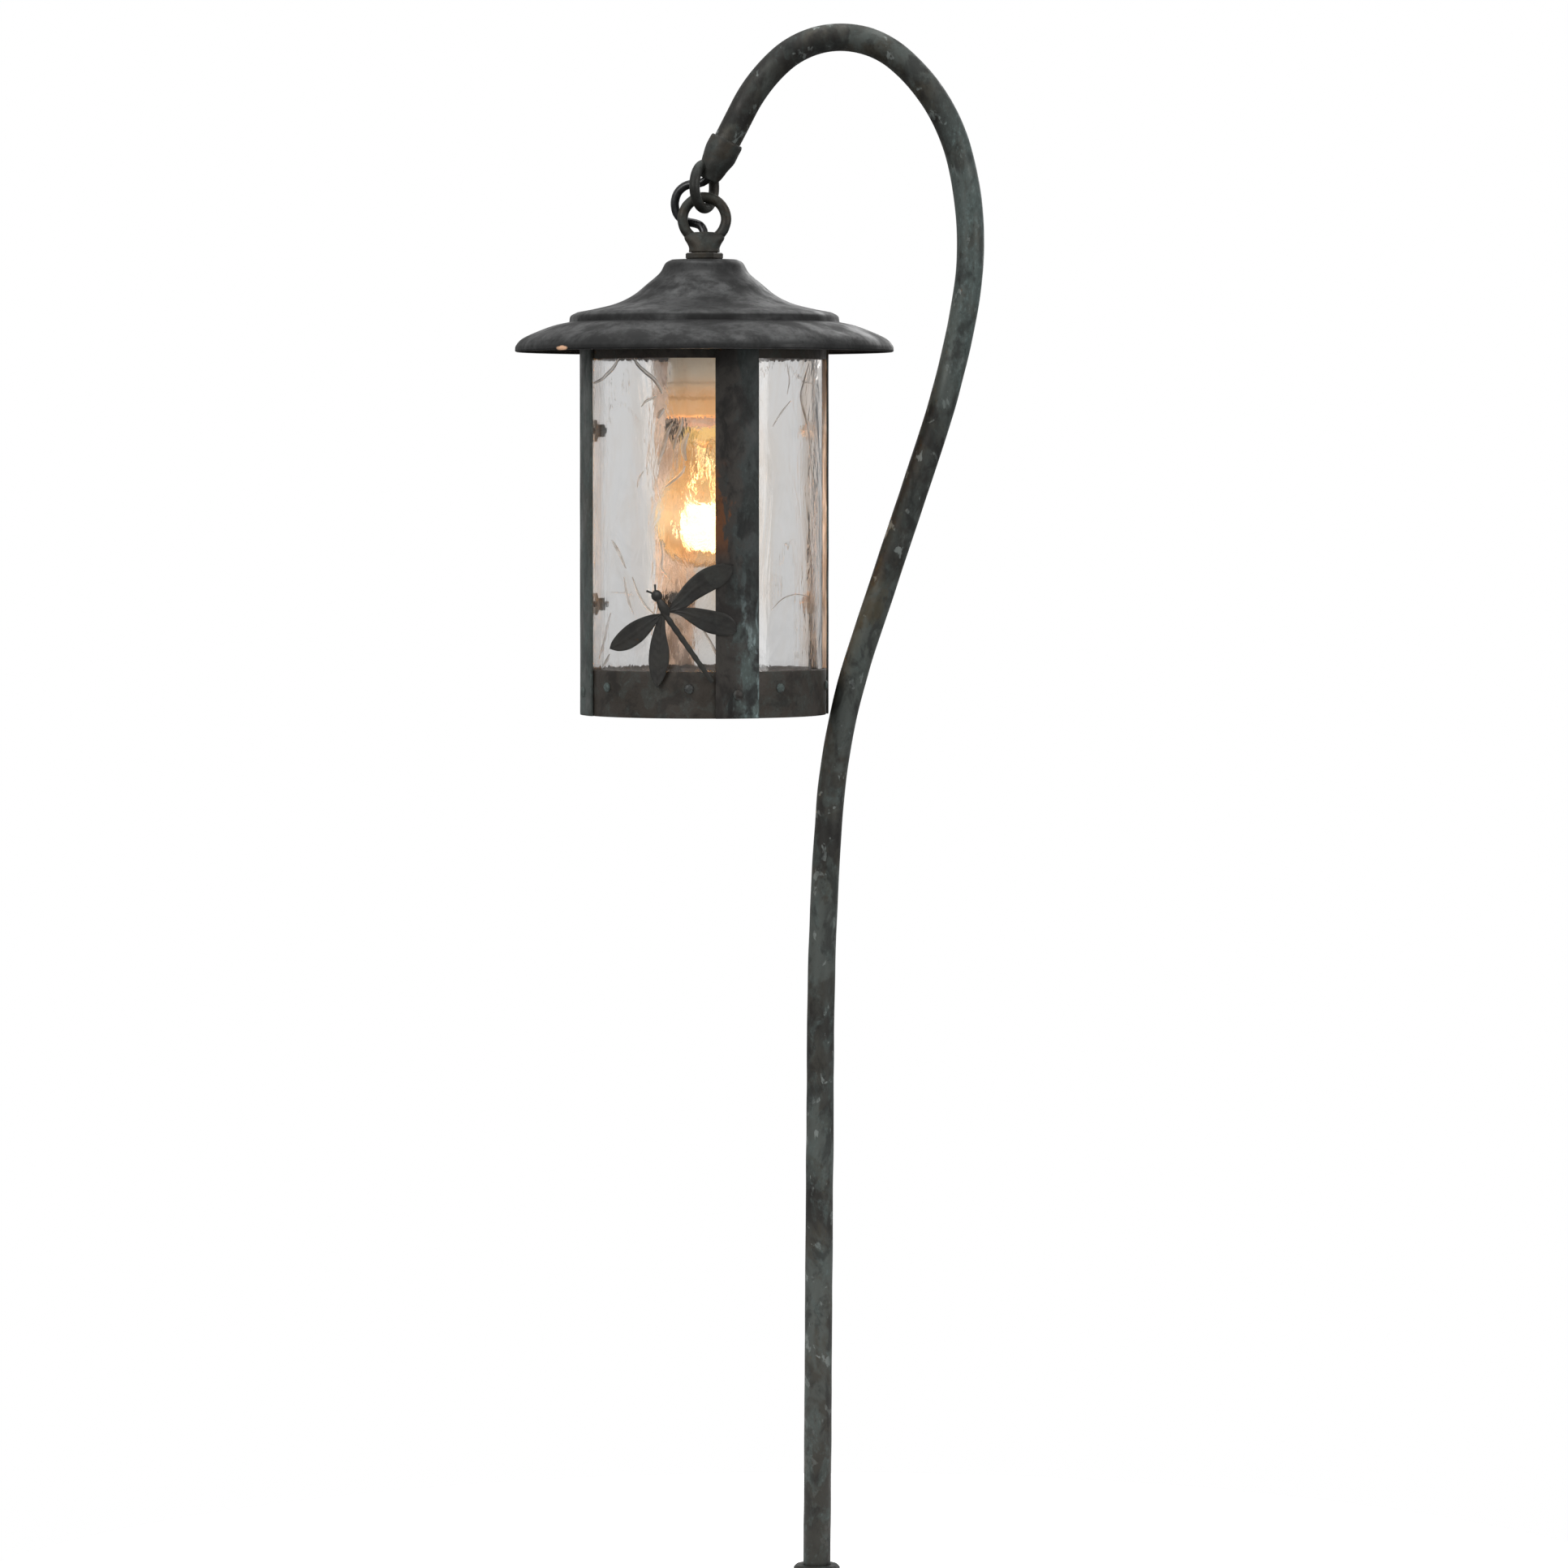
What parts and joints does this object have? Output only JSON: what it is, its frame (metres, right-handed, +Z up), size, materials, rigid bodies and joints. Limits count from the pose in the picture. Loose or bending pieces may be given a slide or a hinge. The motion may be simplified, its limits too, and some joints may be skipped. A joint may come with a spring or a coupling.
{
  "type": "shepherd's crook path light",
  "caption": "Electric garden lantern with clear rippled panes and a dragonfly overlay, hung by a cast loop from a bent bronze tube post with a round base plate.",
  "frame": {"origin": "centre of the base plate's underside", "axes": "+Z up the post, -X towards the hanging lantern, -Y towards the viewer facing the dragonfly"},
  "size_m": [0.2815, 0.2272, 0.9587],
  "materials": {
    "patina": "dark bronze with green-grey patina",
    "roof_metal": "dark spun bronze, satin",
    "steel": "satin",
    "brass": "satin",
    "pane_glass": "clear, rippled",
    "bulb_glass": "clear",
    "porcelain": "glazed",
    "rubber": "gloss black",
    "filament": "glowing"
  },
  "bodies": {
    "post": {"base_plate": "patina", "base_hub": "patina", "hub_set_screw": "steel", "cable_grommet": "rubber", "crook_tube": "patina", "supply_lead": "rubber", "crook_eye": "patina", "crook_eye_screw": "steel"},
    "wire_link": {"jumper_upper": "rubber", "jumper_lower": "rubber"},
    "lantern": {"lantern_eye": "patina", "eye_locknut": "patina", "roof": "roof_metal", "roof_nut": "steel", "lamp_nipple": "steel", "socket_lead": "rubber", "upper_ring": "patina", "lower_band": "patina", "socket_bridge": "steel", "bridge_nut": "steel", "bridge_screw_left": "steel", "bridge_screw_right": "steel", "strap_1": "patina", "strap_2": "patina", "strap_3": "patina", "strap_4": "patina", "foot_rivet_1": "patina", "foot_rivet_2": "patina", "foot_rivet_3": "patina", "foot_rivet_4": "patina", "ledge_tab_1": "patina", "ledge_tab_2": "patina", "ledge_tab_3": "patina", "ledge_tab_4": "patina", "ledge_tab_5": "patina", "ledge_tab_6": "patina", "ledge_tab_7": "patina", "ledge_tab_8": "patina", "glass_pane_1": "pane_glass", "glass_pane_2": "pane_glass", "glass_pane_3": "pane_glass", "glass_pane_4": "pane_glass", "pane_clip_1_1": "patina", "pane_clip_1_2": "patina", "pane_clip_2_1": "patina", "pane_clip_2_2": "patina", "pane_clip_3_1": "patina", "pane_clip_3_2": "patina", "pane_clip_4_1": "patina", "pane_clip_4_2": "patina", "dragonfly": "patina", "socket_body": "porcelain", "socket_shell": "brass", "socket_contact": "brass"},
    "bulb": {"bulb_base": "brass", "bulb_contact": "brass", "bulb_globe": "bulb_glass", "bulb_stem": "bulb_glass", "bulb_filament": "filament"}
  },
  "joints": [
    {"name": "swing_on_crook_loop", "type": "hinge", "parent": "post", "child": "wire_link", "pos_m": [-0.0676, 0, 0.8482], "axis": [0.4384, 0.8988, 0], "range_deg": [0, 25], "deforming": ["jumper_upper", "jumper_lower"]},
    {"name": "swing_on_lantern_loop", "type": "hinge", "parent": "wire_link", "child": "lantern", "pos_m": [-0.0676, 0, 0.8548], "axis": [1, 0, 0], "range_deg": [-25, 25], "deforming": ["jumper_upper", "jumper_lower"]},
    {"name": "bulb_unscrew", "type": "slide", "parent": "lantern", "child": "bulb", "axis": [0, 0, -1], "range_m": [0, 0.05]}
  ]
}
